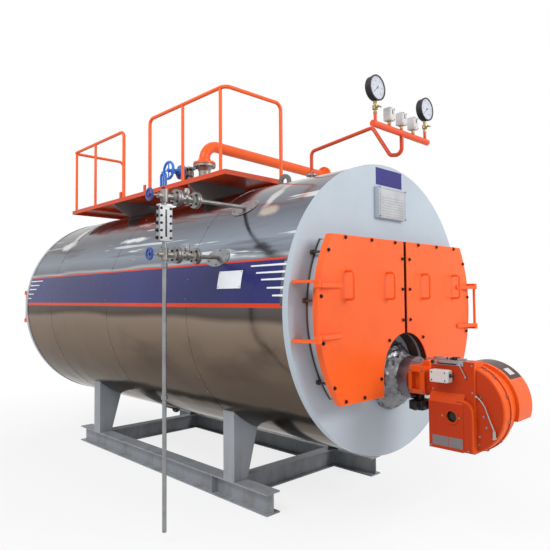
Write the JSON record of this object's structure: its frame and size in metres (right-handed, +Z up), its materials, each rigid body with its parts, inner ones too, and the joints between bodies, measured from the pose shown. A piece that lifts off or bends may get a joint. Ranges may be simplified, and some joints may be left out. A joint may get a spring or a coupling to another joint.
{
  "type": "fire-tube steam boiler",
  "caption": "Horizontal fire-tube steam boiler on a steel skid, with hinged smoke-box doors, a burner, a service deck with guard rails, a steam outlet, pressure gauges and a level gauge",
  "frame": {"origin": "floor level, under the middle of the skid's front cross beam", "axes": "+X along the boiler axis towards the burner, +Y across it away from the level gauge, +Z up"},
  "size_m": [5.1924, 3.2741, 3.206],
  "materials": {
    "mirror_steel": "mirror-polished stainless sheet",
    "grey_paint": "satin light grey enamel",
    "scaled_steel": "sooty bare steel",
    "orange_paint": "gloss orange enamel",
    "door_insulation": "fibre insulation board",
    "base_paint": "satin blue-grey enamel",
    "deck_paint": "gloss red-orange enamel over plate",
    "cast_grey": "cast steel with grey paint",
    "red_paint": "gloss red-orange enamel",
    "black_plastic": "black enamel and moulded plastic",
    "switch_plastic": "pale grey moulded plastic",
    "blue_paint": "gloss blue enamel",
    "brass": "machined brass",
    "bright_steel": "bright drawn steel",
    "galvanised": "dull galvanised tube",
    "foil": "crumpled aluminium foil over insulation",
    "heat_tinted_steel": "heat-tinted steel tube",
    "burner_paint": "gloss deep orange enamel on cast housings",
    "black_steel": "black painted pipe"
  },
  "bodies": {
    "boiler": {"blast_tube": "heat_tinted_steel", "blowdown_pipe": "black_steel", "burner_head": "burner_paint", "burner_housing": "burner_paint", "burner_plug": "foil", "burner_volute": "burner_paint", "cladding": "mirror_steel", "control_rod": "bright_steel", "cross_beams": "base_paint", "deck_brackets": "base_paint", "door_clamps": "orange_paint", "drain_pipe": "galvanised", "flue_outlet": "base_paint", "front_end_plate": "grey_paint", "front_handrail": "orange_paint", "front_legs": "base_paint", "front_smoke_box": "grey_paint", "front_tube_sheet": "scaled_steel", "gas_valve": "black_plastic", "gauge_nozzle": "cast_grey", "inspection_cover": "grey_paint", "instrument_cocks": "brass", "intake_drum": "burner_paint", "left_hinge_arms": "orange_paint", "left_rail": "base_paint", "level_gauge_glass": "cast_grey", "level_handwheels": "blue_paint", "level_pipes": "cast_grey", "level_valves": "cast_grey", "lifting_lugs": "base_paint", "manifold": "red_paint", "nameplate_box": "grey_paint", "pressure_gauges": "black_plastic", "pressure_switches": "switch_plastic", "rear_doors": "orange_paint", "rear_end_plate": "grey_paint", "rear_handrail": "orange_paint", "rear_legs": "base_paint", "rear_smoke_box": "grey_paint", "rear_tube_sheet": "scaled_steel", "right_hinge_arms": "orange_paint", "right_rail": "base_paint", "service_deck": "deck_paint", "servo_box": "switch_plastic", "siphon_pipe": "red_paint", "steam_nozzle": "cast_grey", "steam_pipe": "orange_paint", "stop_valve": "cast_grey", "stop_valve_handwheel": "blue_paint", "stop_valve_yoke": "blue_paint", "vent_valve": "blue_paint", "vent_valve_body": "cast_grey"},
    "left_door": {"left_door_panel": "orange_paint", "left_door_lining": "door_insulation", "left_door_fittings": "orange_paint"},
    "right_door": {"right_door_panel": "orange_paint", "right_door_lining": "door_insulation", "right_door_fittings": "orange_paint"}
  },
  "joints": [
    {"name": "left_door_hinge", "type": "hinge", "parent": "boiler", "child": "left_door", "pos_m": [1.182, -0.932, 1.41], "axis": [0, 0, -1], "range_deg": [0, 110]},
    {"name": "right_door_hinge", "type": "hinge", "parent": "boiler", "child": "right_door", "pos_m": [1.182, 0.932, 1.41], "axis": [0, 0, 1], "range_deg": [0, 110]}
  ]
}
